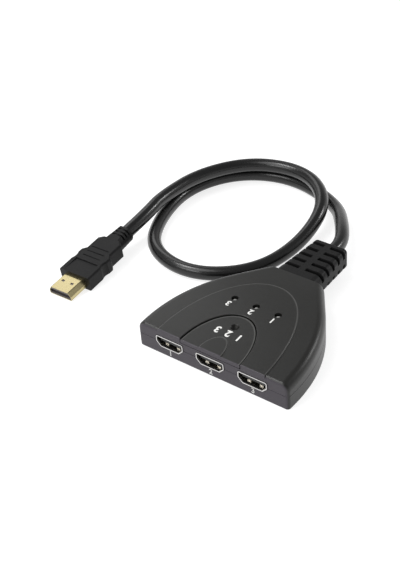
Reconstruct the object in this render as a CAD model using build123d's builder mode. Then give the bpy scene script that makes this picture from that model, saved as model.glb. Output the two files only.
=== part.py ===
from build123d import *
import os
from math import pi, radians, sqrt, tan

# A palm-sized switch box for three video leads. Its sockets face -Y, its own lead leaves towards +Y, and it
# stands on the plane z = 0 with its middle on the Z axis. All lengths are in millimetres, angles in degrees.

# Casing
cover_depth = 64.3
side_half_width = 40.2
side_straight = 4.0
side_radius = 80.0
side_turn = 35.1
front_height = 13.0
crown_height = 15.3
crown_place_share = 0.53
rear_height = 15.2
shoulder_radius = 3.8
edge_radius = 0.7
front_corner_radius = 1.6
wall = 1.6
roof = 1.8
floor_thickness = 1.6
parting_height = 7.2
parting_groove = 0.2
overrun = 2.0

# Raised deck on the casing's top
deck_half_width = 28.6
deck_reach = 51.5
deck_step = 0.5
deck_edge_radius = 0.4
deck_rim_radius = 0.3

# Push tongue
tongue_half_width = 16.1
tongue_reach = 26.0
tongue_gap = 0.3
tongue_thickness = 1.6
tongue_lip_gap = 0.3
tongue_edge_radius = 0.3
pad_half_width = 5.9
pad_reach = 10.3
pad_step = 0.4
pad_edge_radius = 0.3
dimple_diameter = 4.4
dimple_depth = 1.15
dimple_place = 18.2
hinge_place = 3.9
hinge_height = 9.7
hinge_pin_radius = 0.8
hinge_pin_clearance = 0.06
hinge_ear_width = 2.4
hinge_ear_depth = 3.0
hinge_ear_inner = 10.5
hinge_bracket_width = 2.0
hinge_bracket_gap = 0.3
hinge_bracket_rim = 1.2

# Sockets
port_pitch = 22.23
port_height = 7.26
port_opening_width = 14.0
port_opening_height = 4.6
port_side_share = 0.56
port_narrow_share = 0.7
port_corner_radius = 0.5
port_rim = 0.45
port_rim_thickness = 0.5
port_proud = 0.3
port_sheet = 0.35
port_depth = 11.0
port_clearance = 0.2
port_spring_width = 1.7
port_spring_length = 2.4
port_spring_start = 2.0
port_spring_lift = 0.6
port_spring_offset = 3.2
port_block_length = 2.2
blade_width = 11.8
blade_thickness = 1.2
blade_setback = 1.0
blade_rise = 0.3
contact_pitch = 1.0
contact_width = 0.45
contact_thickness = 0.12
contact_setback = 0.8
contact_upper_count = 10
contact_lower_count = 9
tail_pitch = 0.5
tail_width = 0.3
tail_length = 1.4

# Circuit board and what stands on it
board_thickness = 1.6
board_margin = 0.5
board_setback = 2.2
board_rear_margin = 6.3
switch_chip_size = 7.0
switch_chip_height = 1.2
switch_chip_gap = 2.0
switch_chip_lead_width = 0.4
switch_chip_lead_length = 1.0
switch_chip_lead_height = 0.3
switch_chip_lead_count = 9
switch_chip_lead_pitch = 0.65
chip_edge_chamfer = 0.2
logic_chip_width = 4.0
logic_chip_length = 5.0
logic_chip_height = 1.5
logic_chip_x_share = -0.6
logic_chip_place = 24.0
crystal_length = 10.0
crystal_width = 4.4
crystal_height = 3.4
crystal_edge_radius = 0.4
crystal_x_share = 0.55
crystal_place = 24.0
capacitor_radius = 1.6
capacitor_height = 4.6
capacitor_edge_radius = 0.25
capacitor_x = 7.5
capacitor_step = 0.5
resistor_length = 1.6
resistor_width = 0.8
resistor_height = 0.5
resistor_pitch = 2.6
resistor_count = 4
resistor_place = 30.0

# Lights
light_pitch = 11.7
light_place_share = 0.529
light_radius = 1.5
light_flange_radius = 1.9
light_flange_height = 1.0
light_length = 5.3
light_recess = 0.8
light_hole_clearance = 0.15
light_leg = 0.5
light_leg_spacing = 1.27

# Switch below the tongue
switch_place = 20.0
switch_size = 6.0
switch_body_height = 3.5
switch_height = 7.0
switch_plunger_radius = 1.7
switch_bore_clearance = 0.1
switch_bore_floor = 1.6
switch_plunger_floor = 2.3
switch_contact_gap = 0.1
tongue_boss_radius = 2.0

# Casing screws
screw_front_inset = 7.2
screw_front_place = 17.0
screw_rear_share = 0.42
screw_rear_margin = 15.3
screw_head_radius = 2.0
screw_head_height = 1.3
screw_head_recess = 0.6
screw_shank_radius = 1.1
screw_shank_length = 8.0
screw_slot_width = 0.7
screw_slot_depth = 0.6
screw_clearance = 0.2
screw_fit = 0.02
post_radius = 2.6
post_shoulder_radius = 3.8
post_clearance = 0.2

# Strain relief
boot_length = 30.2
boot_root_half_width = 11.8
boot_end_half_width = 8.9
boot_height = 10.7
boot_root_corner = 4.0
boot_end_corner = 2.0
boot_end_radius = 0.9
boot_slot_first = 5.8
boot_slot_pitch = 5.2
boot_slot_count = 5
boot_slot_width = 1.5
boot_slot_depth = 1.6
boot_mouth_width = 2.1
boot_mouth_depth = 0.3
boot_top_bridge = 3.4
boot_side_bridge = 3.1
boot_neck_width = 17.8
boot_neck_height = 6.4
boot_neck_corner = 1.5
boot_neck_clearance = 0.1
boot_flange_width = 22.0
boot_flange_height = 7.2
boot_flange_thickness = 1.8
boot_flange_drop = 0.35

# Lead
cable_diameter = 7.0
bundle_radius = 2.4
bundle_reach = 4.7
jacket_reach = 6.0
lead_fit = 0.05
wire_radius = 0.45
wire_start_pitch = 0.9
wire_row_pitch = 1.0
wire_straight = 1.3
wire_end_pitch = 2.4
wire_near_reach = 3.0
wire_far_reach = 7.0
wire_bend = 1.0
wire_columns = 4

# Plug
neck_length = 10.3
neck_end_radius = 4.6
neck_root_radius = 5.2
neck_slot_first = 2.0
neck_slot_pitch = 2.2
neck_slot_count = 3
neck_slot_width = 1.0
neck_slot_depth = 0.8
neck_bridge = 3.0
grip_length = 29.0
grip_thickness = 7.8
grip_front_half_width = 9.4
grip_rear_half_width = 7.5
grip_end_half_width = 5.6
grip_waist_start = 16.6
grip_waist_end = 18.8
grip_end_chamfer = 1.8
grip_end_gap = 0.2
grip_scallop_start = 9.0
grip_scallop_end = 14.0
grip_scallop_depth = 0.6
grip_edge_radius = 0.9
panel_half_width = 6.8
panel_length = 10.0
panel_depth = 0.5
line_first = 13.3
line_pitch = 3.4
line_count = 3
line_half_length = 5.4
line_width = 0.6
line_depth = 0.3
shell_width = 13.9
shell_height = 4.45
shell_sheet = 0.3
shell_length = 11.3
shell_seat = 2.0
shell_side_share = 0.5
shell_narrow_share = 0.78
shell_corner_radius = 0.6
latch_width = 1.7
latch_length = 1.3
latch_offset = 2.8
latch_place = 5.1
slot_width = 12.4
slot_height = 1.9
slot_depth = 8.0
slot_rise = 0.3
insulator_setback = 0.2
pin_setback = 1.2

# Places worked out from the sizes above
object_length = port_proud + cover_depth + boot_length
front_y = port_proud - object_length / 2
rear_y = front_y + cover_depth
boot_end_y = rear_y + boot_length
crown_y = front_y + cover_depth * crown_place_share
port_floor = port_height - port_opening_height / 2
board_top = port_floor - port_sheet
board_bottom = board_top - board_thickness
tongue_lip_floor = front_height - tongue_thickness - tongue_lip_gap
hinge_y = front_y + hinge_place
boot_middle_height = rear_height - boot_height / 2
port_places = [-port_pitch, 0, port_pitch]
light_places = [-light_pitch, 0, light_pitch]
light_y = front_y + cover_depth * light_place_share
screw_front_x = side_half_width - screw_front_inset
screw_rear_x = side_half_width * screw_rear_share
screw_places = [
    (-screw_front_x, front_y + screw_front_place),
    (screw_front_x, front_y + screw_front_place),
    (-screw_rear_x, rear_y - screw_rear_margin),
    (screw_rear_x, rear_y - screw_rear_margin),
]

# The free lead's route, chosen by hand: out of the strain relief, down to the surface, once round to the
# left, over its own first turn in a long low hump, and along it to the plug, whose nose rests on the
# surface.
cable_route = [
    (0.0, 47.4, 9.85),
    (0.0, 58.4, 9.85),
    (-5.6, 72.4, 8.8),
    (-26.5, 93.9, 3.5),
    (-61.0, 106.4, 3.5),
    (-90.0, 96.4, 3.5),
    (-104.5, 69.4, 3.5),
    (-99.0, 37.9, 3.5),
    (-83.5, 10.9, 3.5),
    (-53.0, 3.4, 3.5),
    (-27.5, 21.4, 3.5),
    (-21.5, 52.9, 4.2),
    (-26.0, 83.9, 10.8),
    (-50.5, 103.4, 11.5),
    (-81.5, 98.4, 11.3),
    (-99.5, 72.9, 11.3),
    (-101.5, 42.4, 11.3),
    (-97.6, 25.9, 11.0),
    (-97.1, 9.0, 8.9),
]
bend_share = 0.45

os.makedirs("parts", exist_ok=True)


def write(piece, name):
    """Label a finished piece and write it as one STEP file."""
    piece.label = name
    export_step(piece, f"parts/{name}.step")


def casing_plan(inset=0, front_inset=0, rear_inset=0):
    """The casing's plan, drawn in by an inset and cut back at the front and the rear."""
    with BuildSketch(Plane.XY) as plan:
        with BuildLine():
            front = Line((0, front_y), (side_half_width, front_y))
            side = Line(front @ 1, (side_half_width, front_y + side_straight))
            curve = JernArc(start=side @ 1, tangent=side % 1, radius=side_radius, arc_size=side_turn)
            run = rear_y - (curve @ 1).Y
            flank_end = (curve @ 1).X + run * (curve % 1).X / (curve % 1).Y
            flank = Line(curve @ 1, (flank_end, rear_y))
            Line(flank @ 1, (0, rear_y))
            mirror(about=Plane.YZ)
        make_face()
        if inset:
            offset(amount=-inset, kind=Kind.INTERSECTION)
        if front_inset:
            with Locations((0, front_y)):
                Rectangle(2 * side_half_width + overrun, 2 * front_inset, mode=Mode.SUBTRACT)
        if rear_inset:
            with Locations((0, rear_y)):
                Rectangle(2 * side_half_width + overrun, 2 * rear_inset, mode=Mode.SUBTRACT)
    return plan.sketch


def side_profile(rise, base):
    """The casing's side view between a base height and its crowned top, raised or lowered by a rise."""
    with BuildSketch(Plane.YZ) as profile:
        with BuildLine():
            crown = ThreePointArc(
                (front_y, front_height + rise),
                (crown_y, crown_height + rise),
                (rear_y, rear_height + rise),
            )
            Polyline(
                crown @ 1,
                (rear_y + overrun, rear_height + rise),
                (rear_y + overrun, base),
                (front_y - overrun, base),
                (front_y - overrun, front_height + rise),
                crown @ 0,
            )
        make_face()
    return profile.sketch


def arch(half_width, reach, inset=0):
    """Half an ellipse that stands on the casing's front edge."""
    with BuildSketch(Plane.XY) as outline:
        with BuildLine():
            curve = EllipticalCenterArc(
                (0, front_y), half_width - inset, reach - inset, start_angle=0, arc_size=180
            )
            Line(curve @ 1, curve @ 0)
        make_face()
    return outline.sketch


def socket_face(width, height, side_share, narrow_share, corner_radius, grow=0):
    """The outline of the socket or plug: straight sides, and slanting corners down to a narrower bottom."""
    with BuildSketch(Plane.XY) as face:
        top = height / 2
        shoulder = top - height * side_share
        Polygon(
            (-width / 2, top),
            (-width / 2, shoulder),
            (-width * narrow_share / 2, -top),
            (width * narrow_share / 2, -top),
            (width / 2, shoulder),
            (width / 2, top),
            align=None,
        )
        fillet(face.vertices(), radius=corner_radius)
        if grow:
            offset(amount=grow, kind=Kind.INTERSECTION)
    return face.sketch


def upright(x, y, z):
    """A plane that faces the front, with its Y axis upwards."""
    return Plane((x, y, z), x_dir=(1, 0, 0), z_dir=(0, -1, 0))


def port_outline(grow=0):
    return socket_face(
        port_opening_width, port_opening_height, port_side_share, port_narrow_share, port_corner_radius, grow
    )


# Casing: a crowned, rounded body that both covers are cut from
tall = crown_height + overrun
with BuildPart() as casing:
    extrude(casing_plan(), amount=tall)
    extrude(side_profile(0, 0), amount=side_half_width + overrun, both=True, mode=Mode.INTERSECT)
    shoulders = casing.edges().filter_by(
        lambda edge: edge.center().Z > parting_height and abs(edge.center().X) > wall
    )
    fillet(shoulders, radius=shoulder_radius)
    fillet(casing.edges().filter_by(Axis.Z).group_by(Axis.Y)[0], radius=front_corner_radius)
    rims = casing.faces().sort_by(Axis.Y)[0].edges() + casing.faces().sort_by(Axis.Z)[0].edges()
    fillet(rims.filter_by(lambda edge: edge.center().Y < rear_y - edge_radius), radius=edge_radius)

with BuildPart() as cavity:
    extrude(casing_plan(wall), amount=tall)
    extrude(side_profile(-roof, floor_thickness), amount=side_half_width, both=True, mode=Mode.INTERSECT)
    inner_shoulders = cavity.edges().filter_by(
        lambda edge: edge.center().Z > parting_height and abs(edge.center().X) > wall
    )
    fillet(inner_shoulders, radius=shoulder_radius - wall)

with BuildPart() as deck:
    extrude(arch(deck_half_width, deck_reach), amount=tall)
    extrude(
        side_profile(deck_step, parting_height),
        amount=side_half_width,
        both=True,
        mode=Mode.INTERSECT,
    )
    fillet(deck.faces().sort_by(Axis.Z)[-1].edges(), radius=deck_edge_radius)

# Top cover: hollow, open below, with the tongue's opening, the light holes, bosses and hinge brackets
bracket_outer = hinge_ear_inner - hinge_bracket_gap
bracket_inner = bracket_outer - hinge_bracket_width
bracket_reach = hinge_pin_radius + hinge_bracket_rim
bracket_front = front_y + wall / 2
bracket_rear = hinge_y + bracket_reach
bracket_top = hinge_height + bracket_reach - hinge_bracket_rim / 2
bracket_bottom = hinge_height - bracket_reach
with BuildPart() as screw_bosses:
    with BuildSketch(Plane.XY.offset(parting_height)):
        with Locations(screw_places):
            Circle(post_radius)
    extrude(amount=tall)
    extrude(
        side_profile(-roof / 2, parting_height),
        amount=side_half_width,
        both=True,
        mode=Mode.INTERSECT,
    )

with BuildPart() as top_cover:
    add(casing)
    add(deck)
    split(bisect_by=Plane.XY.offset(parting_height), keep=Keep.TOP)
    add(cavity, mode=Mode.SUBTRACT)
    add(screw_bosses)
    for side in (-1, 1):
        middle = side * (bracket_inner + bracket_outer) / 2
        with BuildSketch(Plane.XY.offset(bracket_bottom)):
            with Locations((middle, (bracket_front + bracket_rear) / 2)):
                Rectangle(hinge_bracket_width, bracket_rear - bracket_front)
        extrude(amount=bracket_top - bracket_bottom)
    with BuildSketch(Plane.YZ):
        with Locations((hinge_y, hinge_height)):
            Circle(hinge_pin_radius + hinge_pin_clearance)
    extrude(amount=hinge_ear_inner, both=True, mode=Mode.SUBTRACT)
    extrude(
        arch(tongue_half_width, tongue_reach).moved(Location((0, 0, tongue_lip_floor))),
        amount=tall,
        mode=Mode.SUBTRACT,
    )
    tongue_rim = top_cover.edges().filter_by(
        lambda edge: edge.bounding_box().size.X > 2 * tongue_half_width - tongue_gap
        and edge.center().Y < light_y
    )
    fillet(tongue_rim.sort_by(lambda edge: edge.bounding_box().max.Z)[-1], radius=deck_rim_radius)
    with BuildSketch(Plane.XY.offset(parting_height)):
        with Locations([(x, light_y) for x in light_places]):
            Circle(light_radius + light_hole_clearance)
    extrude(amount=tall, mode=Mode.SUBTRACT)
    with BuildSketch(Plane.XY.offset(parting_height)):
        with Locations(screw_places):
            Circle(screw_shank_radius + screw_fit)
    screw_bore_top = screw_head_recess + screw_head_height + screw_shank_length + screw_clearance
    extrude(amount=screw_bore_top - parting_height, mode=Mode.SUBTRACT)
    for x in port_places:
        with BuildSketch(upright(x, front_y - overrun, port_height)):
            add(port_outline(port_rim + port_clearance))
        extrude(amount=-(wall + 2 * overrun), mode=Mode.SUBTRACT)
    with BuildSketch(upright(0, rear_y + overrun, boot_middle_height)):
        RectangleRounded(
            boot_neck_width + 2 * boot_neck_clearance,
            boot_neck_height + 2 * boot_neck_clearance,
            boot_neck_corner,
        )
    extrude(amount=wall + 2 * overrun, mode=Mode.SUBTRACT)
write(top_cover.part, "top_cover")

# Bottom cover: a tray with the board's posts, whose screws come up from below
with BuildPart() as bottom_cover:
    add(casing)
    split(bisect_by=Plane.XY.offset(parting_height), keep=Keep.BOTTOM)
    add(cavity, mode=Mode.SUBTRACT)
    with BuildSketch(Plane.XY.offset(floor_thickness / 2)):
        with Locations(screw_places):
            Circle(post_shoulder_radius)
    extrude(amount=board_bottom - floor_thickness / 2)
    with BuildSketch(Plane.XY.offset(floor_thickness / 2)):
        with Locations(screw_places):
            Circle(post_radius)
    extrude(amount=parting_height - floor_thickness / 2)
    with BuildSketch(Plane.XY):
        with Locations(screw_places):
            Circle(screw_shank_radius + screw_clearance)
    extrude(amount=parting_height, mode=Mode.SUBTRACT)
    with BuildSketch(Plane.XY):
        with Locations(screw_places):
            Circle(screw_head_radius + screw_clearance)
    extrude(amount=screw_head_recess + screw_head_height, mode=Mode.SUBTRACT)
    with BuildSketch(Plane.XY.offset(parting_height)):
        add(casing_plan())
        add(casing_plan(parting_groove), mode=Mode.SUBTRACT)
    extrude(amount=-parting_groove, mode=Mode.SUBTRACT)
    for x in port_places:
        with BuildSketch(upright(x, front_y - overrun, port_height)):
            add(port_outline(port_rim + port_clearance))
        extrude(amount=-(wall + 2 * overrun), mode=Mode.SUBTRACT)
    with BuildSketch(upright(0, rear_y + overrun, boot_middle_height)):
        RectangleRounded(
            boot_neck_width + 2 * boot_neck_clearance,
            boot_neck_height + 2 * boot_neck_clearance,
            boot_neck_corner,
        )
    extrude(amount=wall + 2 * overrun, mode=Mode.SUBTRACT)
write(bottom_cover.part, "bottom_cover")

# Screws that hold the covers together
head_bottom = screw_head_recess
head_top = head_bottom + screw_head_height
with BuildPart() as casing_screws:
    with BuildSketch(Plane.XY.offset(head_bottom)):
        with Locations(screw_places):
            Circle(screw_head_radius)
    extrude(amount=screw_head_height)
    with BuildSketch(Plane.XY.offset(head_top)):
        with Locations(screw_places):
            Circle(screw_shank_radius)
    extrude(amount=screw_shank_length)
    with BuildSketch(Plane.XY.offset(head_bottom)):
        with Locations(screw_places):
            Rectangle(2 * screw_shank_radius, screw_slot_width)
            Rectangle(screw_slot_width, 2 * screw_shank_radius)
    extrude(amount=screw_slot_depth, mode=Mode.SUBTRACT)
write(casing_screws.part, "casing_screws")

# Push tongue: a crowned plate with a raised pad, a finger dimple, a boss over the switch and two hinge ears
with BuildPart() as pad:
    extrude(arch(pad_half_width, pad_reach), amount=tall)
    extrude(
        side_profile(pad_step, front_height - tongue_thickness / 2),
        amount=side_half_width,
        both=True,
        mode=Mode.INTERSECT,
    )
    fillet(pad.faces().sort_by(Axis.Z)[-1].edges(), radius=pad_edge_radius)

tongue_y = front_y + dimple_place
dimple_ball_radius = ((dimple_diameter / 2) ** 2 + dimple_depth**2) / (2 * dimple_depth)
arc_rise = (crown_height - front_height) * sqrt(dimple_place / (cover_depth * crown_place_share))
ear_middle = hinge_ear_inner + hinge_ear_width / 2
ear_bottom = hinge_height - hinge_ear_depth / 2
with BuildPart() as select_button:
    extrude(arch(tongue_half_width, tongue_reach, tongue_gap), amount=tall)
    extrude(side_profile(0, 0), amount=side_half_width, both=True, mode=Mode.INTERSECT)
    extrude(side_profile(-tongue_thickness, -overrun), amount=side_half_width, both=True, mode=Mode.SUBTRACT)
    fillet(select_button.faces().sort_by(Axis.Z)[-1].edges(), radius=tongue_edge_radius)
    add(pad)
    with BuildSketch(Plane.XY.offset(ear_bottom)):
        with Locations((-ear_middle, hinge_y), (ear_middle, hinge_y)):
            Rectangle(hinge_ear_width, hinge_ear_depth)
    extrude(amount=front_height - tongue_thickness / 2 - ear_bottom)
    pin_reach = hinge_ear_inner - hinge_bracket_gap - hinge_bracket_width / 2
    for side in (-1, 1):
        with BuildSketch(Plane.YZ.offset(side * pin_reach)):
            with Locations((hinge_y, hinge_height)):
                Circle(hinge_pin_radius)
        extrude(amount=side * (hinge_ear_inner - pin_reach + hinge_ear_width / 2))
    with BuildSketch(Plane.XY.offset(board_top + switch_height + switch_contact_gap)):
        with Locations((0, front_y + switch_place)):
            Circle(tongue_boss_radius)
    extrude(amount=crown_height - roof - board_top - switch_height - switch_contact_gap)
    dimple_middle = front_height + arc_rise - dimple_depth + dimple_ball_radius
    with Locations((0, tongue_y, dimple_middle)):
        Sphere(dimple_ball_radius, mode=Mode.SUBTRACT)
write(select_button.part, "select_button")

# Sockets: each has a bent shell with a flared rim, an insulator with its blade, and its contacts
blade_front = front_y + blade_setback
block_front = front_y - port_proud + port_depth - port_block_length
port_rear = front_y - port_proud + port_depth
blade_middle = port_height + blade_rise
for number, x in enumerate(port_places, start=1):
    with BuildPart() as port_shell:
        with BuildSketch(upright(x, front_y - port_proud, port_height)):
            add(port_outline(port_rim))
            add(port_outline(), mode=Mode.SUBTRACT)
        extrude(amount=-port_rim_thickness)
        with BuildSketch(upright(x, front_y - port_proud, port_height)):
            add(port_outline(port_sheet))
            add(port_outline(), mode=Mode.SUBTRACT)
        extrude(amount=-port_depth)
        spring_y = front_y + port_spring_start + port_spring_length / 2
        spring_floor = port_floor - port_sheet / 2
        with BuildSketch(Plane.XY.offset(spring_floor)):
            with Locations((x - port_spring_offset, spring_y), (x + port_spring_offset, spring_y)):
                Rectangle(port_spring_width, port_spring_length)
        extrude(amount=port_spring_lift + port_sheet / 2)
    write(port_shell.part, f"port_shell_{number}")

    with BuildPart() as port_blade:
        with BuildSketch(upright(x, port_rear, port_height)):
            add(port_outline())
        extrude(amount=port_block_length)
        with BuildSketch(upright(x, block_front, blade_middle)):
            Rectangle(blade_width, blade_thickness)
        extrude(amount=block_front - blade_front)
    write(port_blade.part, f"port_blade_{number}")

    contact_length = block_front - blade_front - contact_setback
    contact_y = block_front - contact_length / 2
    tail_y = port_rear + tail_length / 2
    with BuildPart() as port_contacts:
        with BuildSketch(Plane.XY.offset(blade_middle + blade_thickness / 2)):
            with Locations((x, contact_y)):
                with GridLocations(contact_pitch, contact_pitch, contact_upper_count, 1):
                    Rectangle(contact_width, contact_length)
        extrude(amount=contact_thickness)
        with BuildSketch(Plane.XY.offset(blade_middle - blade_thickness / 2)):
            with Locations((x, contact_y)):
                with GridLocations(contact_pitch, contact_pitch, contact_lower_count, 1):
                    Rectangle(contact_width, contact_length)
        extrude(amount=-contact_thickness)
        with BuildSketch(Plane.XY.offset(board_top)):
            with Locations((x, tail_y)):
                with GridLocations(tail_pitch, tail_pitch, contact_upper_count + contact_lower_count, 1):
                    Rectangle(tail_width, tail_length)
        extrude(amount=port_sheet + contact_thickness)
    write(port_contacts.part, f"port_contacts_{number}")

# Circuit board, let in round the posts
with BuildPart() as circuit_board:
    board_plan = casing_plan(wall + board_margin, board_setback, board_rear_margin)
    extrude(board_plan.moved(Location((0, 0, board_bottom))), amount=board_thickness)
    with BuildSketch(Plane.XY.offset(board_bottom)):
        with Locations(screw_places):
            Circle(post_radius + post_clearance)
    extrude(amount=board_thickness, mode=Mode.SUBTRACT)
write(circuit_board.part, "circuit_board")

wires_end_y = rear_y - bundle_reach - wire_far_reach - wire_straight
chip_y = wires_end_y - switch_chip_gap - switch_chip_lead_length - switch_chip_size / 2
with BuildPart() as switch_chip:
    with BuildSketch(Plane.XY.offset(board_top)):
        with Locations((0, chip_y)):
            Rectangle(switch_chip_size, switch_chip_size)
    extrude(amount=switch_chip_height)
    chamfer(switch_chip.faces().sort_by(Axis.Z)[-1].edges(), length=chip_edge_chamfer)
    lead_offset = switch_chip_size / 2 + switch_chip_lead_length / 2
    with BuildSketch(Plane.XY.offset(board_top)):
        with Locations((-lead_offset, chip_y), (lead_offset, chip_y)):
            with GridLocations(switch_chip_lead_length, switch_chip_lead_pitch, 1, switch_chip_lead_count):
                Rectangle(switch_chip_lead_length, switch_chip_lead_width)
        with Locations((0, chip_y - lead_offset), (0, chip_y + lead_offset)):
            with GridLocations(switch_chip_lead_pitch, switch_chip_lead_length, switch_chip_lead_count, 1):
                Rectangle(switch_chip_lead_width, switch_chip_lead_length)
    extrude(amount=switch_chip_lead_height)
write(switch_chip.part, "switch_chip")

with BuildPart() as logic_chip:
    with BuildSketch(Plane.XY.offset(board_top)):
        with Locations((side_half_width * logic_chip_x_share, front_y + logic_chip_place)):
            Rectangle(logic_chip_width, logic_chip_length)
    extrude(amount=logic_chip_height)
    chamfer(logic_chip.faces().sort_by(Axis.Z)[-1].edges(), length=chip_edge_chamfer)
write(logic_chip.part, "logic_chip")

with BuildPart() as crystal:
    with BuildSketch(Plane.XY.offset(board_top)):
        with Locations((side_half_width * crystal_x_share, front_y + crystal_place)):
            SlotOverall(crystal_length, crystal_width)
    extrude(amount=crystal_height)
    fillet(crystal.faces().sort_by(Axis.Z)[-1].edges(), radius=crystal_edge_radius)
write(crystal.part, "crystal")

with BuildPart() as board_capacitors:
    with BuildSketch(Plane.XY.offset(board_top)):
        with Locations((-capacitor_x, chip_y + capacitor_step), (capacitor_x, chip_y + capacitor_step)):
            Circle(capacitor_radius)
    extrude(amount=capacitor_height)
    fillet(board_capacitors.faces().sort_by(Axis.Z)[-2:].edges(), radius=capacitor_edge_radius)
write(board_capacitors.part, "board_capacitors")

with BuildPart() as board_resistors:
    with BuildSketch(Plane.XY.offset(board_top)):
        with Locations((-port_pitch, front_y + resistor_place), (port_pitch, front_y + resistor_place)):
            with GridLocations(resistor_pitch, resistor_pitch, resistor_count, 1):
                Rectangle(resistor_width, resistor_length)
    extrude(amount=resistor_height)
write(board_resistors.part, "board_resistors")

# Lights: each stands on two legs, with its dome just below the deck's surface
light_top = crown_height + deck_step - light_recess
light_base = light_top - light_length
for number, x in enumerate(light_places, start=1):
    with BuildPart() as light:
        with BuildSketch(Plane.XY.offset(light_base)):
            with Locations((x, light_y)):
                Circle(light_flange_radius)
        extrude(amount=light_flange_height)
        with BuildSketch(Plane.XY.offset(light_base)):
            with Locations((x, light_y)):
                Circle(light_radius)
        extrude(amount=light_length - light_radius)
        with Locations((x, light_y, light_top - light_radius)):
            Sphere(light_radius)
        with BuildSketch(Plane.XY.offset(board_top)):
            with Locations((x - light_leg_spacing, light_y), (x + light_leg_spacing, light_y)):
                Rectangle(light_leg, light_leg)
        extrude(amount=light_base - board_top)
    write(light.part, f"light_{number}")

# Switch below the tongue
switch_y = front_y + switch_place
with BuildPart() as switch_body:
    with BuildSketch(Plane.XY.offset(board_top)):
        with Locations((0, switch_y)):
            Rectangle(switch_size, switch_size)
    extrude(amount=switch_body_height)
    with BuildSketch(Plane.XY.offset(board_top + switch_bore_floor)):
        with Locations((0, switch_y)):
            Circle(switch_plunger_radius + switch_bore_clearance)
    extrude(amount=switch_body_height, mode=Mode.SUBTRACT)
write(switch_body.part, "switch_body")

with BuildPart() as switch_plunger:
    with BuildSketch(Plane.XY.offset(board_top + switch_plunger_floor)):
        with Locations((0, switch_y)):
            Circle(switch_plunger_radius)
    extrude(amount=switch_height - switch_plunger_floor)
write(switch_plunger.part, "switch_plunger")

# Strain relief: a tapered block with rows of slots, held by a flange behind the casing's rear wall
with BuildPart() as strain_relief:
    with BuildSketch(upright(0, rear_y, boot_middle_height)):
        RectangleRounded(2 * boot_root_half_width, boot_height, boot_root_corner)
    with BuildSketch(upright(0, boot_end_y, boot_middle_height)):
        RectangleRounded(2 * boot_end_half_width, boot_height, boot_end_corner)
    loft()
    fillet(strain_relief.faces().sort_by(Axis.Y)[-1].edges(), radius=boot_end_radius)
    for row in range(boot_slot_count):
        place = boot_slot_first + row * boot_slot_pitch
        along_share = place / boot_length
        half_width = boot_root_half_width + (boot_end_half_width - boot_root_half_width) * along_share
        corner = boot_root_corner + (boot_end_corner - boot_root_corner) * along_share
        for width, depth in ((boot_slot_width, boot_slot_depth), (boot_mouth_width, boot_mouth_depth)):
            with BuildSketch(upright(0, rear_y + place, boot_middle_height)):
                Rectangle(2 * half_width + overrun, boot_height + overrun)
                RectangleRounded(
                    2 * (half_width - depth),
                    boot_height - 2 * depth,
                    corner - depth / 2,
                    mode=Mode.SUBTRACT,
                )
                Rectangle(boot_top_bridge, boot_height + overrun, mode=Mode.SUBTRACT)
                Rectangle(2 * half_width + overrun, boot_side_bridge, mode=Mode.SUBTRACT)
            extrude(amount=width / 2, both=True, mode=Mode.SUBTRACT)
    with BuildSketch(upright(0, rear_y, boot_middle_height)):
        RectangleRounded(boot_neck_width, boot_neck_height, boot_neck_corner)
    extrude(amount=wall + boot_neck_clearance)
    flange_height = boot_middle_height - boot_flange_drop
    with BuildSketch(upright(0, rear_y - wall - boot_neck_clearance, flange_height)):
        RectangleRounded(boot_flange_width, boot_flange_height, boot_neck_corner)
    extrude(amount=boot_flange_thickness)
    with BuildSketch(upright(0, boot_end_y, boot_middle_height)):
        Circle(cable_diameter / 2 + lead_fit)
    extrude(amount=boot_length - jacket_reach, mode=Mode.SUBTRACT)
    with BuildSketch(upright(0, rear_y + jacket_reach, boot_middle_height)):
        Circle(bundle_radius + lead_fit)
    extrude(amount=boot_length, mode=Mode.SUBTRACT)
write(strain_relief.part, "strain_relief")

# Inner end of the lead: its jacket ends inside the strain relief, and the bundle goes on into the casing
bundle_end_y = rear_y - bundle_reach
with BuildPart() as lead_end:
    with BuildSketch(upright(0, boot_end_y, boot_middle_height)):
        Circle(cable_diameter / 2)
    extrude(amount=boot_length - jacket_reach)
    with BuildSketch(upright(0, rear_y + jacket_reach, boot_middle_height)):
        Circle(bundle_radius)
    extrude(amount=jacket_reach + bundle_reach)
write(lead_end.part, "lead_end")

# Wires from the bundle to two rows of pads on the board
wire_floor = board_top + wire_radius
with BuildPart() as board_wires:
    for row, reach in ((-1, wire_near_reach), (1, wire_far_reach)):
        for column in range(wire_columns):
            step = column - (wire_columns - 1) / 2
            start_height = boot_middle_height + row * wire_row_pitch / 2
            with BuildLine() as wire_path:
                FilletPolyline(
                    (step * wire_start_pitch, bundle_end_y, start_height),
                    (step * wire_start_pitch, bundle_end_y - wire_straight, start_height),
                    (step * wire_end_pitch, bundle_end_y - reach, wire_floor),
                    (step * wire_end_pitch, bundle_end_y - reach - wire_straight, wire_floor),
                    radius=wire_bend,
                )
            with BuildSketch(Plane(wire_path.line @ 0, z_dir=wire_path.line % 0)):
                Circle(wire_radius)
            sweep(path=wire_path.line)
write(board_wires.part, "board_wires")

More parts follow.
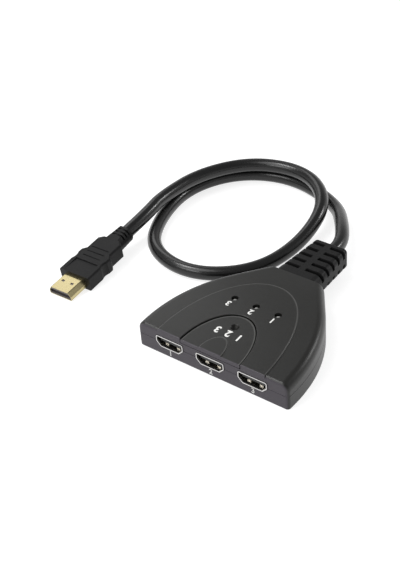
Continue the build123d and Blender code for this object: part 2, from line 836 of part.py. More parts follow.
# Free lead: straight runs joined by tangent arcs, each as large as its two runs allow
route = [Vector(point) for point in cable_route]
bend_radii = []
for before, corner, after in zip(route, route[1:], route[2:]):
    turn = (corner - before).get_angle(after - corner)
    shorter_run = min((corner - before).length, (after - corner).length)
    bend_radii.append(bend_share * shorter_run / tan(radians(turn) / 2))
with BuildPart() as cable:
    with BuildLine() as cable_path:
        FilletPolyline(*route, radius=bend_radii)
    with BuildSketch(Plane(cable_path.line @ 0, z_dir=cable_path.line % 0)):
        Circle(cable_diameter / 2)
    sweep(path=cable_path.line)
write(cable.part, "cable")
cable_length = sum(edge.length for edge in cable_path.edges())
cable_section = pi * (cable_diameter / 2) ** 2
print("cable bend radii", [round(radius, 1) for radius in bend_radii])
print("cable length", round(cable_length, 1))
print("cable volume over section times length", round(cable.part.volume / (cable_section * cable_length), 5))

# Plug: its axis carries on from the lead's last run
nose = (route[-1] - route[-2]).normalized()
across = Vector(-nose.Y, nose.X, 0).normalized()
upward = nose.cross(across)
plug_end = route[-1]
plug_length = neck_length + grip_length
grip_front = plug_end + nose * plug_length


def plug_section(distance):
    """A plane square to the plug's axis, at a distance from the neck's end towards the nose."""
    return Plane(plug_end + nose * distance, x_dir=across, z_dir=nose)


def plug_outline(grow=0):
    """The plug shell's outline on a plane square to its axis, with its wide side below."""
    outline = socket_face(
        shell_width, shell_height, shell_side_share, shell_narrow_share, shell_corner_radius, grow
    )
    return outline.rotate(Axis.Z, 180)


flat = Plane(grip_front, x_dir=across, z_dir=upward)
grip_top = Plane(grip_front + upward * (grip_thickness / 2), x_dir=across, z_dir=upward)
with BuildPart() as plug_overmold:
    with BuildSketch(flat):
        with BuildLine():
            Polyline((0, 0), (grip_front_half_width, 0), (grip_front_half_width, grip_scallop_start))
            ThreePointArc(
                (grip_front_half_width, grip_scallop_start),
                (grip_front_half_width - grip_scallop_depth, (grip_scallop_start + grip_scallop_end) / 2),
                (grip_front_half_width, grip_scallop_end),
            )
            Polyline(
                (grip_front_half_width, grip_scallop_end),
                (grip_front_half_width, grip_waist_start),
                (grip_rear_half_width, grip_waist_end),
                (grip_rear_half_width, grip_length - grip_end_chamfer),
                (grip_end_half_width, grip_length),
                (0, grip_length),
            )
            mirror(about=Plane.YZ)
        make_face()
    extrude(amount=grip_thickness / 2, both=True)
    grip_axis = Axis(grip_front, upward)
    grip_sides = plug_overmold.faces().sort_by(grip_axis)
    grip_edges = (grip_sides[0].edges() + grip_sides[-1].edges()).filter_by(
        lambda edge: grip_end_gap < (grip_front - edge.center()).dot(nose) < grip_length - grip_end_gap
    )
    fillet(grip_edges, radius=grip_edge_radius)
    with BuildSketch(plug_section(neck_length)):
        Circle(neck_root_radius)
        Rectangle(2 * neck_root_radius, grip_thickness, mode=Mode.INTERSECT)
    with BuildSketch(plug_section(0)):
        Circle(neck_end_radius)
        Rectangle(2 * neck_end_radius, grip_thickness, mode=Mode.INTERSECT)
    loft()
    for row in range(neck_slot_count):
        place = neck_slot_first + row * neck_slot_pitch
        with BuildSketch(plug_section(place)):
            Circle(neck_root_radius + overrun)
            Circle(neck_end_radius - neck_slot_depth, mode=Mode.SUBTRACT)
            Rectangle(2 * (neck_root_radius + overrun), neck_bridge, mode=Mode.SUBTRACT)
        extrude(amount=neck_slot_width / 2, both=True, mode=Mode.SUBTRACT)
    with BuildSketch(Plane(grip_front, x_dir=-nose, z_dir=across)):
        with BuildLine():
            Polyline(
                (0, grip_thickness / 2),
                (panel_length, grip_thickness / 2 - panel_depth),
                (panel_length, grip_thickness / 2 + overrun),
                (0, grip_thickness / 2 + overrun),
                (0, grip_thickness / 2),
            )
        make_face()
    extrude(amount=panel_half_width, both=True, mode=Mode.SUBTRACT)
    with BuildSketch(grip_top):
        for row in range(line_count):
            with Locations((0, line_first + row * line_pitch)):
                Rectangle(2 * line_half_length, line_width)
    extrude(amount=-line_depth, mode=Mode.SUBTRACT)
    with BuildSketch(plug_section(plug_length)):
        add(plug_outline())
    extrude(amount=-shell_seat, mode=Mode.SUBTRACT)
write(plug_overmold.part, "plug_overmold")

shell_back = plug_section(plug_length - shell_seat)
with BuildPart() as plug_shell:
    with BuildSketch(shell_back):
        add(plug_outline())
        add(plug_outline(-shell_sheet), mode=Mode.SUBTRACT)
    extrude(amount=shell_seat + shell_length)
    with BuildSketch(flat):
        with Locations((-latch_offset, -latch_place), (latch_offset, -latch_place)):
            Rectangle(latch_width, latch_length)
    extrude(amount=shell_height, mode=Mode.SUBTRACT)
write(plug_shell.part, "plug_shell")

slot_front = plug_length + shell_length - insulator_setback
with BuildPart() as plug_insulator:
    with BuildSketch(shell_back):
        add(plug_outline(-shell_sheet))
    extrude(amount=shell_seat + shell_length - insulator_setback)
    with BuildSketch(plug_section(slot_front)):
        with Locations((0, -slot_rise)):
            Rectangle(slot_width, slot_height)
    extrude(amount=-slot_depth, mode=Mode.SUBTRACT)
write(plug_insulator.part, "plug_insulator")

pin_length = slot_depth - pin_setback
pin_middle = slot_front - slot_depth + pin_length / 2
with BuildPart() as plug_contacts:
    slot_middle = plug_end + nose * pin_middle - upward * slot_rise
    with BuildSketch(Plane(slot_middle + upward * (slot_height / 2), x_dir=across, z_dir=upward)):
        with GridLocations(contact_pitch, contact_pitch, contact_lower_count, 1):
            Rectangle(contact_width, pin_length)
    extrude(amount=-contact_thickness)
    with BuildSketch(Plane(slot_middle - upward * (slot_height / 2), x_dir=across, z_dir=upward)):
        with GridLocations(contact_pitch, contact_pitch, contact_upper_count, 1):
            Rectangle(contact_width, pin_length)
    extrude(amount=contact_thickness)
write(plug_contacts.part, "plug_contacts")
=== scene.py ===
# %% [markdown]
# # A video switch box and its lead
#
# This lesson dresses a small switch box that was modelled as a solid assembly: a crowned plastic casing
# with three sockets, a push tongue, three lights, and a lead that ends in a plug.
#
# The solids already have the right shapes and sizes, so most of the work here is finishes: satin and
# matte plastics, a glossy cable jacket, nickel and gold. The lead is drawn again as a smooth curve.
#
# First the solids are loaded, and the box round them is kept, so that the dressed model can be held
# against it at the end.

from math import cos, radians, sin

import bpy
from mathutils import Matrix, Vector


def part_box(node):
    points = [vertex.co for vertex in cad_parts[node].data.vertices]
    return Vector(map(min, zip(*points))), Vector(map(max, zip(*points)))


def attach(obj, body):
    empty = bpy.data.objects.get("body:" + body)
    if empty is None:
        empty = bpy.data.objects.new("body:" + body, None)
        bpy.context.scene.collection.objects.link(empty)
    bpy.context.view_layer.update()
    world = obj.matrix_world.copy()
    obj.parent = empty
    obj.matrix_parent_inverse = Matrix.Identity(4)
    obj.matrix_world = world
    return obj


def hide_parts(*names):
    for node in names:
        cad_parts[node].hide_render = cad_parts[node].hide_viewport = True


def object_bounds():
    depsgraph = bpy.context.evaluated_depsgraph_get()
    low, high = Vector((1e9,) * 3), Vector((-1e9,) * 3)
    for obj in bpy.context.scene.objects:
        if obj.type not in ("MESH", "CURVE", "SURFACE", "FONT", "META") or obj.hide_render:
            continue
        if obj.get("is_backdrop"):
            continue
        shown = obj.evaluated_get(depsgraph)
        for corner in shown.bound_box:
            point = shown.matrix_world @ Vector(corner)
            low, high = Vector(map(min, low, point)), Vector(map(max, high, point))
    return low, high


def in_millimetres(corners):
    """Points in metres as rounded millimetres, for printing."""
    return [[round(1000 * value, 1) for value in corner] for corner in corners]


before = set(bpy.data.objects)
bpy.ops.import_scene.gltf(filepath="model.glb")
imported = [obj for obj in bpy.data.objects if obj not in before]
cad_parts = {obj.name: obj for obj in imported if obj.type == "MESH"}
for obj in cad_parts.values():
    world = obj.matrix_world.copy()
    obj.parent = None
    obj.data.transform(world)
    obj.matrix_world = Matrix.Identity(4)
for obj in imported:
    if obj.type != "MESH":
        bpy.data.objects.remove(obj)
solid_box = [list(corner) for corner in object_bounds()]
print("solid box in millimetres", in_millimetres(solid_box))

# %% [markdown]
# ## The camera
#
# The picture was taken from the front right and above, with a long lens and the camera rolled a little.
# The camera could be aimed with a Track To constraint, but that can't hold a roll. Its three axes are
# worked out here instead, and they become the columns of its matrix.

# %% Camera
view_azimuth = radians(41.19)
view_elevation = radians(35.15)
view_roll = radians(-4.96)
view_distance = 0.5096
lens_length = 69.12
aim = Vector((-0.0384, -0.0053, 0.008))


def add_object(name, data):
    """Puts some data into the scene as an object."""
    added = bpy.data.objects.new(name, data)
    bpy.context.scene.collection.objects.link(added)
    return added


def turned(place, x_axis, y_axis, z_axis):
    """The matrix of a thing that stands at a place, with its own axes turned to three directions."""
    return Matrix.Translation(place) @ Matrix((x_axis, y_axis, z_axis)).transposed().to_4x4()


level_right = Vector((cos(view_azimuth), sin(view_azimuth), 0))
level_back = Vector((sin(view_azimuth), -cos(view_azimuth), 0))
backward = cos(view_elevation) * level_back + sin(view_elevation) * Vector((0, 0, 1))
level_up = backward.cross(level_right)
right = cos(view_roll) * level_right + sin(view_roll) * level_up
up = backward.cross(right)

camera = add_object("camera", bpy.data.cameras.new("camera"))
camera.data.lens = lens_length
camera.matrix_world = turned(aim + view_distance * backward, right, up, backward)
bpy.context.scene.camera = camera
print("camera stands at", in_millimetres([camera.location]))

# %% [markdown]
# ## The lead's route
#
# A video lead is a round cable of medium stiffness. This one leaves the strain relief, drops to the
# surface, runs once round to the left, climbs over its own first turn in a long low hump and carries the
# plug. The picture shows it from end to end, so it is as long as it looks there, 0.488 m.
#
# The route could be drawn on the picture and projected down, but a crossing has two heights there. So its
# points are given one by one, in metres. They steer the curve, and only the first and the last lie on it.

# %% Lead's route
lead_diameter = 0.007
lead_route = [
    (0.0, 0.0474, 0.00985),
    (0.0, 0.0559, 0.00985),
    (-0.0081, 0.0702, 0.0094),
    (-0.0268, 0.0945, 0.0035),
    (-0.061, 0.1064, 0.0035),
    (-0.090, 0.0964, 0.0035),
    (-0.1045, 0.0694, 0.0035),
    (-0.099, 0.0379, 0.0035),
    (-0.0835, 0.0109, 0.0035),
    (-0.053, 0.0034, 0.0035),
    (-0.0275, 0.0214, 0.0035),
    (-0.0215, 0.0529, 0.0042),
    (-0.026, 0.0839, 0.0108),
    (-0.0505, 0.1034, 0.0115),
    (-0.0815, 0.0984, 0.0113),
    (-0.0995, 0.0729, 0.0113),
    (-0.1015, 0.0424, 0.0113),
    (-0.0976, 0.0259, 0.0110),
    (-0.0971, 0.0090, 0.0089),
]
print("lead steered by", len(lead_route), "points")

# %% [markdown]
# ## The lead's curve
#
# A mesh tube could be swept along the route, but a NURBS curve with a round bevel is smoother and needs
# only the points that steer it. Its order and end points are set after the points are added, because a
# new spline starts with none.
#
# Blender multiplies the bevel's depth by each point's radius, and takes the points with their radius as
# the curve's box. So the points carry the tube's radius and the bevel is one deep, which keeps the box
# within 3 mm of the tube.

# %% Lead's curve
lead_curve = bpy.data.curves.new("lead", "CURVE")
lead_curve.dimensions = "3D"
lead_line = lead_curve.splines.new("NURBS")
lead_line.points.add(len(lead_route) - 1)
for point, place in zip(lead_line.points, lead_route):
    point.co = (*place, 1)
    point.radius = lead_diameter / 2
lead_line.order_u = 3
lead_line.use_endpoint_u = True
lead_curve.resolution_u = 14
lead_curve.bevel_depth = 1.0
lead_curve.bevel_resolution = 8
lead_curve.use_fill_caps = True
lead = add_object("lead", lead_curve)
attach(lead, "base")
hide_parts("cable")

# %% [markdown]
# ## Sums of signals
#
# Each finish below is built from nodes. Adding nodes one by one hides the idea, so a small class stands
# for a node's output and lets plain sums be written: `1 - mask` adds its Math nodes by itself.

# %% Sums of signals
class Signal:
    """One output of a shader node, which can be used in sums."""

    def __init__(self, tree, socket):
        self.tree = tree
        self.socket = socket

    def maths(self, operation, *others):
        step = self.tree.nodes.new("ShaderNodeMath")
        step.operation = operation
        for socket, value in zip(step.inputs, (self, *others)):
            connect(self.tree, value, socket)
        return Signal(self.tree, step.outputs[0])

    def __add__(self, other):
        return self.maths("ADD", other)

    def __mul__(self, other):
        return self.maths("MULTIPLY", other)

    def __sub__(self, other):
        return self.maths("SUBTRACT", other)

    def __rsub__(self, other):
        return self * -1 + other

    def __truediv__(self, other):
        return self.maths("DIVIDE", other)

    def __pow__(self, other):
        return self.maths("POWER", other)

    def __abs__(self):
        return self.maths("ABSOLUTE")

    __radd__ = __add__
    __rmul__ = __mul__


def connect(tree, value, socket):
    """Links a signal to a socket, or sets the socket to a plain number, colour or vector."""
    if isinstance(value, Signal):
        tree.links.new(value.socket, socket)
    else:
        socket.default_value = value


print("signals can be summed")

# %% [markdown]
# ## Finishes
#
# A finish is a material with its node tree. Node groups could hold what the finishes share, but a class
# says the same in words that can be read. Its `node` call adds any node: settings first, then the values
# or links of its inputs.
#
# Most masks here are slopes, which turn a distance into a number between nought and one.

# %% Finishes
class Shading:
    """The node tree of a material or a sky, with one call that adds any node."""

    def __init__(self, owner):
        owner.use_nodes = True
        self.tree = owner.node_tree

    def node(self, kind, settings=None, inputs=None, output=0):
        """Adds a node, with its settings before its inputs, and gives one of its outputs."""
        made = self.tree.nodes.new("ShaderNode" + kind)
        set_up = getattr(made, "color_ramp", made)
        for name, value in (settings or {}).items():
            if name == "stops":
                while len(set_up.elements) < len(value):
                    set_up.elements.new(0.5)
                for stop, (position, colour) in zip(set_up.elements, value):
                    stop.position = position
                    stop.color = colour
            else:
                setattr(set_up, name, value)
        for name, value in (inputs or {}).items():
            connect(self.tree, value, made.inputs[name])
        return Signal(self.tree, made.outputs[output])

    def place(self, kind="Object"):
        """Where a point lies in its object, in metres, or as Generated in a sky, the way to it."""
        return self.node("TexCoord", output=kind)

    def along(self, axis, kind="Object"):
        return self.node("SeparateXYZ", inputs={"Vector": self.place(kind)}, output=axis)

    def slope(self, value, start, end, first=0.0, last=1.0):
        """Goes from a first to a last number as a value goes from start to end, and is level outside."""
        limits = {"From Min": start, "From Max": end, "To Min": first, "To Max": last}
        return self.node("MapRange", inputs={"Value": value, **limits})

    def colours(self, factor, low, high):
        """A colour between two, which are colours or signals. Mix has several sockets of the same name, one
        for each kind of data, so those for colour go by number."""
        low, high = [end if isinstance(end, Signal) else (*end, 1) for end in (low, high)]
        return self.node("Mix", {"data_type": "RGBA"}, {0: factor, 6: low, 7: high}, output=2)

    def seen(self):
        """One for what the camera, a reflection or glass shows, and nought for light that falls."""
        kinds = ("Camera", "Glossy", "Transmission")
        rays = [self.node("LightPath", output=f"Is {kind} Ray") for kind in kinds]
        return rays[0] + rays[1] + rays[2]


class Finish(Shading):
    """One material, built round its Principled shader."""

    def __init__(self, name, **fixed):
        self.material = bpy.data.materials.new(name)
        super().__init__(self.material)
        self.shader = self.tree.nodes["Principled BSDF"]
        for socket, value in fixed.items():
            self.feed(socket.replace("_", " "), value)

    def noise(self, scale, detail, place=None):
        inputs = {"Vector": place or self.place(), "Scale": scale, "Detail": detail}
        return self.node("TexNoise", inputs=inputs)

    def feed(self, socket, value):
        connect(self.tree, value, self.shader.inputs[socket])

    def tint(self, factor, low, high):
        self.feed("Base Color", self.colours(factor, low, high))

    def bump(self, height, depth):
        self.feed("Normal", self.node("Bump", inputs={"Height": height, "Distance": depth}, output="Normal"))

    def wear(self, *nodes):
        """Puts the finish on solids."""
        for node in nodes:
            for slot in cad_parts[node].material_slots:
                slot.material = self.material
        print(self.material.name, "on", ", ".join(nodes))


def one_per_socket(name):
    """The names of a piece that each of the three sockets has."""
    return [f"{name}_{number}" for number in (1, 2, 3)]


print("finishes can be made")

# %% [markdown]
# ## Satin plastic of the casing
#
# The covers and the push tongue are dark warm grey moulding with a fine spark-eroded grain, which is what
# makes the gloss soft. A picture of the grain would have to be wrapped round every rounded edge. Noise in
# object coordinates has no seams, and one noise for the grain and a broad one for handling marks are
# enough.

# %% Casing's grain and colour
casing_finish = Finish("casing plastic", IOR=1.46)
grain = casing_finish.noise(scale=2600, detail=3)
handling = casing_finish.noise(scale=45, detail=4)
plain_colour = casing_finish.colours(
    handling * 0.6 + grain * 0.4, low=(0.0077, 0.0077, 0.0068), high=(0.0122, 0.0122, 0.0111)
)
casing_finish.bump(grain, depth=0.00003)
casing_finish.wear("top_cover", "bottom_cover", "select_button")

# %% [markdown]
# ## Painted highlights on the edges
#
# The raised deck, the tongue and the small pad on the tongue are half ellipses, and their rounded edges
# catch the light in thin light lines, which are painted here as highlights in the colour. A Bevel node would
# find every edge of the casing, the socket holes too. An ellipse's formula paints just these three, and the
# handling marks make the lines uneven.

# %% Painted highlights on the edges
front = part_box("top_cover")[0].y
deck_half_width = 0.0284
deck_reach = 0.0513
tongue_half_width = 0.0153
tongue_reach = 0.0252
pad_half_width = 0.0057
pad_reach = 0.0101
line_core = 0.0001
line_end = 0.0004
sides_end = 0.0122
top_start = 0.0128
# The grey of the painted highlight lines along the edges.
painted_highlight_grey = (0.07, 0.07, 0.067)
from_middle = casing_finish.along("X")
from_front = casing_finish.along("Y") - front
on_top = casing_finish.slope(casing_finish.along("Z"), sides_end, top_start)


def arch_edge(half_width, reach):
    """One along a half ellipse that stands on the front face, and nought 0.4 mm away from it."""
    ring = (from_middle * from_middle / half_width**2 + from_front * from_front / reach**2) ** 0.5 - 1
    return casing_finish.slope(abs(ring) * half_width, line_core, line_end, first=1, last=0)


deck_edge = arch_edge(deck_half_width, deck_reach)
tongue_edge = arch_edge(tongue_half_width, tongue_reach)
pad_edge = arch_edge(pad_half_width, pad_reach)
# Painted highlights: thin light lines on the top edges of the deck, the tongue and the pad, where their
# rounded edges catch the light.
painted_highlight = (deck_edge + tongue_edge + pad_edge) * on_top * (0.3 + handling)
painted_highlight_colour = casing_finish.colours(painted_highlight, plain_colour, painted_highlight_grey)
print("rubbed edges on the deck, the tongue and its pad")

# %% [markdown]
# ## Front face and dimple
#
# The flat face round the sockets is duller and a little violet, and its lighter colour is painted light
# from the front. The finger dimple in the tongue is nearly black, which is painted shade in the hollow.
# Each could have a material of its own, but they are places on one moulding, so two masks steer one
# material instead: how far a point is from the front, and how far from the dimple.
# The dimple is made mostly metallic, because a dark metal reflects less than a plastic does, so the
# painted shade darkens its reflections too.

# %% Front face and dimple
face_core = 0.0001
face_end = 0.0006
dimple_place = 0.0182
dimple_radius = 0.0022
dimple_depth = 0.00115
dimple_rim = 0.0004
on_face = casing_finish.slope(from_front, face_core, face_end, first=1, last=0)
# Painted light: the face is lighter than the rest of the casing, standing in for light that falls from the
# front.
face_colour_with_painted_light = casing_finish.colours(
    handling * 0.5 + grain * 0.5, low=(0.045, 0.0388, 0.0493), high=(0.0597, 0.0524, 0.0641)
)
tongue_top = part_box("select_button")[1].z
dimple_middle = (0, front + dimple_place, tongue_top - dimple_depth)
from_dimple = casing_finish.node(
    "VectorMath", {"operation": "DISTANCE"}, {0: casing_finish.place(), 1: dimple_middle}, output="Value"
)
in_dimple = casing_finish.slope(from_dimple, dimple_radius - dimple_rim, dimple_radius, first=1, last=0)
casing_finish.tint(on_face, painted_highlight_colour, face_colour_with_painted_light)
# Painted shade: the dimple's metallic mask darkens its reflections to nearly black, standing in for shade in
# the hollow.
casing_finish.feed("Metallic", in_dimple * 0.7)
casing_finish.feed("Roughness", 0.3 + handling * 0.08 + grain * 0.05 + on_face * 0.12 + in_dimple * 0.1)
print("dimple's middle in millimetres", in_millimetres([dimple_middle]))

# %% [markdown]
# ## Matte black moulding
#
# The strain relief and the plug's grip are moulded over the cable in a softer black plastic. The casing's
# finish could be used again, but this plastic is duller and its grain is coarser. So it has a finish of its
# own, with a higher roughness, weaker highlights and a deeper bump.

# %% Soft moulding finish
moulding_finish = Finish("soft black moulding", IOR=1.45, Specular_IOR_Level=0.22)
pits = moulding_finish.noise(scale=1900, detail=4)
smudge = moulding_finish.noise(scale=70, detail=3)
moulding_finish.tint(pits * 0.5 + smudge * 0.5, low=(0.005, 0.005, 0.0052), high=(0.009, 0.009, 0.0092))
moulding_finish.feed("Roughness", 0.42 + smudge * 0.14)
moulding_finish.bump(pits, depth=0.00006)
moulding_finish.wear("strain_relief", "plug_overmold")

# %% [markdown]
# ## The cable's jacket
#
# The jacket is extruded, so it is smoother and shinier than the moulded parts, and its surface waves very
# slightly. The waves could be put into the curve, but a bump that is far longer than it is deep bends the
# highlight just enough.

# %% Jacket finish
jacket_finish = Finish("extruded jacket", IOR=1.5, Specular_IOR_Level=0.46)
waves = jacket_finish.noise(scale=110, detail=2)
specks = jacket_finish.noise(scale=1500, detail=2)
jacket_finish.tint(waves, low=(0.0045, 0.0045, 0.0046), high=(0.007, 0.007, 0.0072))
jacket_finish.feed("Roughness", 0.2 + waves * 0.08 + specks * 0.04)
jacket_finish.bump(waves, depth=0.00004)
jacket_finish.wear("lead_end")
lead_curve.materials.append(jacket_finish.material)

# %% [markdown]
# ## Plated metals
#
# The socket shells are nickel plated steel, the plug's shell and all contacts are gold plated, and the
# screws are zinc plated. Sheet metal keeps faint rolling lines in one direction, so the noise is stretched
# along it before it reaches colour, roughness and bump.
#
# Inside the sockets the nickel is darker and duller than on their rims, which is painted shade. A second
# metal could be put there, but the shell is one sheet, so its colour changes with the distance behind the
# rim.

# %% Metal finishes
rolling_scale = (900, 160, 900)
rim_end = 0.0008
inside_start = 0.0014
painted_shade_nickel = (0.48, 0.46, 0.42)


class Plated(Finish):
    """A plated sheet metal with faint rolling lines along Y."""

    def __init__(self, name, dull, bright, roughness):
        super().__init__(name, Metallic=1.0)
        stretched = self.node("Mapping", inputs={"Vector": self.place(), "Scale": rolling_scale})
        rolled = self.noise(scale=1, detail=3, place=stretched)
        self.sheet_colour = self.colours(rolled, dull, bright)
        self.feed("Base Color", self.sheet_colour)
        self.feed("Roughness", roughness + rolled * 0.12)
        self.bump(rolled, depth=0.00001)


nickel_finish = Plated("nickel plate", dull=(0.55, 0.54, 0.53), bright=(0.72, 0.71, 0.7), roughness=0.22)
inside = nickel_finish.slope(nickel_finish.along("Y"), front + rim_end, front + inside_start)
# Painted shade: the nickel darkens behind the socket rims, where the inside of each socket is in shade.
nickel_finish.tint(inside, nickel_finish.sheet_colour, painted_shade_nickel)
nickel_finish.wear(*one_per_socket("port_shell"), "crystal", "board_capacitors", "switch_body")

gold_finish = Plated("gold plate", dull=(0.42, 0.355, 0.185), bright=(0.525, 0.46, 0.26), roughness=0.2)
gold_finish.wear(*one_per_socket("port_contacts"), "plug_shell", "plug_contacts")

zinc_finish = Plated("zinc plate", dull=(0.36, 0.37, 0.38), bright=(0.5, 0.51, 0.52), roughness=0.34)
zinc_finish.wear("casing_screws")

# %% [markdown]
# ## Insulators
#
# The sockets' tongues, the switch's plunger, the chips and the resistors are a hard, slightly glassy
# black. The block that holds the plug's contacts is a duller grey. Flat colours would do in the dark of a
# socket, but a cloudy colour, as plastic has when it has flowed into a mould, holds up closer by.

# %% Insulators
insulator_finish = Finish("hard black insulator", IOR=1.5)
cast = insulator_finish.noise(scale=800, detail=2)
insulator_finish.tint(cast, low=(0.012, 0.012, 0.012), high=(0.022, 0.022, 0.022))
insulator_finish.feed("Roughness", 0.34 + cast * 0.1)
insulator_finish.bump(cast, depth=0.00002)
insulator_finish.wear(*one_per_socket("port_blade"), "switch_plunger")
insulator_finish.wear("switch_chip", "logic_chip", "board_resistors")

filler_finish = Finish("grey insulator of the plug", IOR=1.5, Roughness=0.45)
mould_flow = filler_finish.noise(scale=500, detail=3)
filler_finish.tint(mould_flow, low=(0.075, 0.065, 0.066), high=(0.11, 0.097, 0.098))
filler_finish.bump(mould_flow, depth=0.00002)
filler_finish.wear("plug_insulator")

# %% [markdown]
# ## The board
#
# The board is green under its solder mask, with copper tracks that show as faint raised lines. Tracks
# could be modelled, but the casing hides them, and the mortar lines of a Brick texture are thin and
# straight like tracks.

# %% Board
board_finish = Finish("green board", IOR=1.5, Roughness=0.3)
black = (0, 0, 0, 1)
white = (1, 1, 1, 1)
brick_colours = {"Color1": black, "Color2": black, "Mortar": white}
tracks = board_finish.node(
    "TexBrick", inputs={"Vector": board_finish.place(), **brick_colours, "Scale": 420, "Mortar Size": 0.06}
)
board_finish.tint(tracks, low=(0.006, 0.075, 0.028), high=(0.02, 0.17, 0.07))
board_finish.bump(tracks, depth=0.00004)
board_finish.wear("circuit_board")

# %% [markdown]
# ## The wires to the board
#
# Two rows of four wires spread from the lead to the board, in four colours from side to side. Their faces
# could be given four materials, but a solid's mesh is left as it is here. So one material finds the colour
# from how far a point lies to the side, through a ramp with hard steps. The outer wires take their own
# colour only where they have spread, which is enough inside the casing.

# %% Wires
wire_span = 0.0091
wire_finish = Finish("coloured wires", IOR=1.5, Roughness=0.32)
wire_stops = [
    (0.0, (0.5, 0.02, 0.015, 1)),
    (0.3, (0.02, 0.2, 0.05, 1)),
    (0.5, (0.6, 0.5, 0.05, 1)),
    (0.7, (0.03, 0.07, 0.4, 1)),
]
across_wires = wire_finish.along("X") / wire_span + 0.5
wire_colours = wire_finish.node(
    "ValToRGB", {"interpolation": "CONSTANT", "stops": wire_stops}, {"Fac": across_wires}
)
wire_finish.feed("Base Color", wire_colours)
wire_finish.bump(wire_finish.noise(scale=1200, detail=2), depth=0.00002)
wire_finish.wear("board_wires")

# %% [markdown]
# ## The lights
#
# Each light is a clear dome over a pale reflector cup, and in daylight it looks like a small pale bead in
# a dark hole. Real refraction would show only noise at this size, so the dome is a glossy pale plastic
# that is darker lower down, where the casing shades it.

# %% Lights
dome_height = 0.0012
dome_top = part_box("light_1")[1].z
dome_finish = Finish("light dome", IOR=1.5, Roughness=0.12)
raised = dome_finish.slope(dome_finish.along("Z"), dome_top - dome_height, dome_top)
cloud = dome_finish.noise(scale=900, detail=2)
dome_finish.tint(raised * (0.8 + cloud * 0.2), low=(0.01, 0.01, 0.01), high=(0.3, 0.3, 0.29))
dome_finish.bump(cloud, depth=0.00002)
dome_finish.wear(*one_per_socket("light"))

# %% [markdown]
# ## Printing
#
# The casing carries pale figures that are pad printed, so they have no depth that can be felt. An image
# texture would do it, but text as a thin mesh stays sharp at any distance.
#
# Each figure is set on the surface by a ray from outside, which gives the place and the direction that
# the surface faces there, and it is turned so that its foot points the way it is read from.

# %% Printing
ink_thickness = 0.00002
ink_spread = 0.028
print_finish = Finish("pad printing", IOR=1.45)
ink = print_finish.noise(scale=1400, detail=3)
print_finish.tint(ink, low=(0.7, 0.7, 0.68), high=(0.84, 0.84, 0.82))
print_finish.feed("Roughness", 0.5 + ink * 0.1)


def printed(name, words, size, start, ray, foot, node, body):
    """Prints words on a solid where a ray meets it, with their foot towards a direction."""
    hit, place, facing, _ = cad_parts[node].ray_cast(Vector(start), Vector(ray))
    outward = facing.normalized()
    upward = -(Vector(foot) - Vector(foot).dot(outward) * outward).normalized()
    font = bpy.data.curves.new(name + "_font", "FONT")
    font.body = words
    font.size = size
    font.offset = ink_spread * size
    font.align_x = "CENTER"
    font.align_y = "CENTER"
    font.extrude = ink_thickness
    setting = add_object(name + "_setting", font)
    bpy.context.view_layer.update()
    mesh = bpy.data.meshes.new_from_object(setting.evaluated_get(bpy.context.evaluated_depsgraph_get()))
    bpy.data.objects.remove(setting)
    mesh.transform(turned(place + ink_thickness * outward, upward.cross(outward), upward, outward))
    mesh.materials.clear()
    mesh.materials.append(print_finish.material)
    piece = add_object(name, mesh)
    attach(piece, body)
    print(name, "meets its surface:", hit, "at", in_millimetres([place]))


print("printing is ready")

# %% [markdown]
# ## Where the figures are
#
# There is a figure by each light, a figure below each socket, and a row of three on the push tongue. Those
# on top are read from behind the box, so their feet point to the back. They could all be one mesh, but
# the row on the tongue has to move with it.

# %% Figures
down = (0, 0, -1)
rearward = (0, 1, 0)
above = 0.05
ahead = front - 0.02
lights_row = front + 0.0297
for number, across in ((3, -0.0120), (2, 0.0001), (1, 0.0116)):
    printed(
        f"light_figure_{number}",
        str(number),
        size=0.0044,
        start=(across, lights_row, above),
        ray=down,
        foot=rearward,
        node="top_cover",
        body="base",
    )

socket_pitch = 0.02223
sockets_row = 0.0024
for number in (1, 2, 3):
    printed(
        f"socket_figure_{number}",
        str(number),
        size=0.0037,
        start=((number - 2) * socket_pitch, ahead, sockets_row),
        ray=rearward,
        foot=down,
        node="bottom_cover",
        body="base",
    )

tongue_row = front + 0.0136
printed(
    "tongue_figures",
    "1  2  3",
    size=0.0054,
    start=(0, tongue_row, above),
    ray=down,
    foot=rearward,
    node="select_button",
    body="tongue",
)

# %% [markdown]
# ## The floor
#
# The floor is a plain grey sheet, a hair below the box so that the two faces don't flicker. More light
# would turn it white but would bleach the casing too. So it gives off light that only the camera and
# reflections see, which makes it white where nothing shades it and keeps a soft shadow under the box.

# %% Floor
half_floor = 3.0
floor_drop = 0.00005
floor_corners = [
    (-half_floor, -half_floor, 0),
    (half_floor, -half_floor, 0),
    (half_floor, half_floor, 0),
    (-half_floor, half_floor, 0),
]
floor_mesh = bpy.data.meshes.new("floor")
floor_mesh.from_pydata(floor_corners, [], [(0, 1, 2, 3)])
floor = add_object("floor", floor_mesh)
floor.location.z = -floor_drop
floor_finish = Finish("floor", Base_Color=(0.38, 0.38, 0.38, 1), Roughness=0.9, Emission_Strength=1.0)
floor_finish.feed("Emission Color", floor_finish.colours(floor_finish.seen(), (0, 0, 0), (0.78, 0.78, 0.78)))
floor_mesh.materials.append(floor_finish.material)
floor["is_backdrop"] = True
print("floor is", 2 * half_floor, "m wide")

# %% [markdown]
# ## The sky
#
# Glossy black things mostly show what they reflect. A picture of a studio could surround them, but a plain
# sky is enough: white at the horizon and dimmer overhead where the camera and reflections see it, and an
# even grey for the light that falls from it.

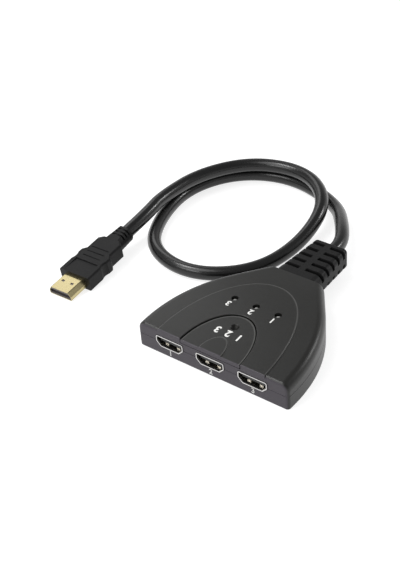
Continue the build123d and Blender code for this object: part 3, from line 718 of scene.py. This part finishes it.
# %% Sky
sky_at_horizon = 1.0
sky_overhead = 0.28
sky_falling = 0.5
horizon_end = 0.05
overhead_start = 0.55
sky = bpy.data.worlds.new("sky")
bpy.context.scene.world = sky
studio = Shading(sky)
rise = studio.along("Z", "Generated")
in_view = studio.slope(rise, horizon_end, overhead_start, sky_at_horizon, sky_overhead)
seen_sky = studio.seen()
strength = in_view * seen_sky + sky_falling * (1 - seen_sky)
background = studio.tree.nodes["Background"]
connect(studio.tree, white, background.inputs["Color"])
connect(studio.tree, strength, background.inputs["Strength"])
print("sky is", sky_at_horizon, "at the horizon and", sky_overhead, "overhead")

# %% [markdown]
# ## The lamps
#
# Sun lamps would light everything alike. Area lamps show as soft shapes in the gloss, and each of the
# five has a job: a broad key from the upper left, a small one beside it that sharpens the edges, two
# behind that line the cable and the casing's back, and a long one in front that fills the sockets' side.
#
# The view transform is Standard, because Blender's usual one would mute the colours.

# %% Lamps
def lamp(name, place, target, width, height, power):
    """Hangs a rectangular lamp at a place and turns it to a target."""
    light = bpy.data.lights.new(name, "AREA")
    light.shape = "RECTANGLE"
    light.size = width
    light.size_y = height
    light.energy = power
    holder = add_object(name, light)
    holder.location = place
    holder.rotation_euler = (Vector(target) - Vector(place)).to_track_quat("-Z", "Y").to_euler()


lamp("key", place=(-0.3, -0.35, 0.8), target=(0, 0, 0), width=0.6, height=0.6, power=3.2)
lamp("edge", place=(-0.5, -0.1, 0.85), target=(0, 0, 0), width=0.2, height=0.2, power=2.2)
lamp("back_left", place=(-0.6, 0.38, 0.52), target=(-0.03, 0, 0), width=0.32, height=0.32, power=0.62)
lamp("back_right", place=(0.4, 0.8, 0.48), target=(0, 0, 0), width=0.16, height=0.16, power=1.7)
lamp("front", place=(-0.3, -0.62, 0.5), target=(-0.05, 0.05, 0), width=0.5, height=0.12, power=1.5)
bpy.context.scene.view_settings.view_transform = "Standard"
print(len(bpy.data.lights), "lamps hang round the box")

# %% [markdown]
# ## Last look at the sizes
#
# The dressed model has to keep the solids' size, so its box is printed here, to be read against the solids'
# box printed at the start. The lead's points lie outside its bends and count in the dressed box, which is
# about 2 mm larger on that side, although the lead itself isn't.

# %% Sizes
dressed_box = [list(corner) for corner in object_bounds()]
print("dressed box in millimetres", in_millimetres(dressed_box))
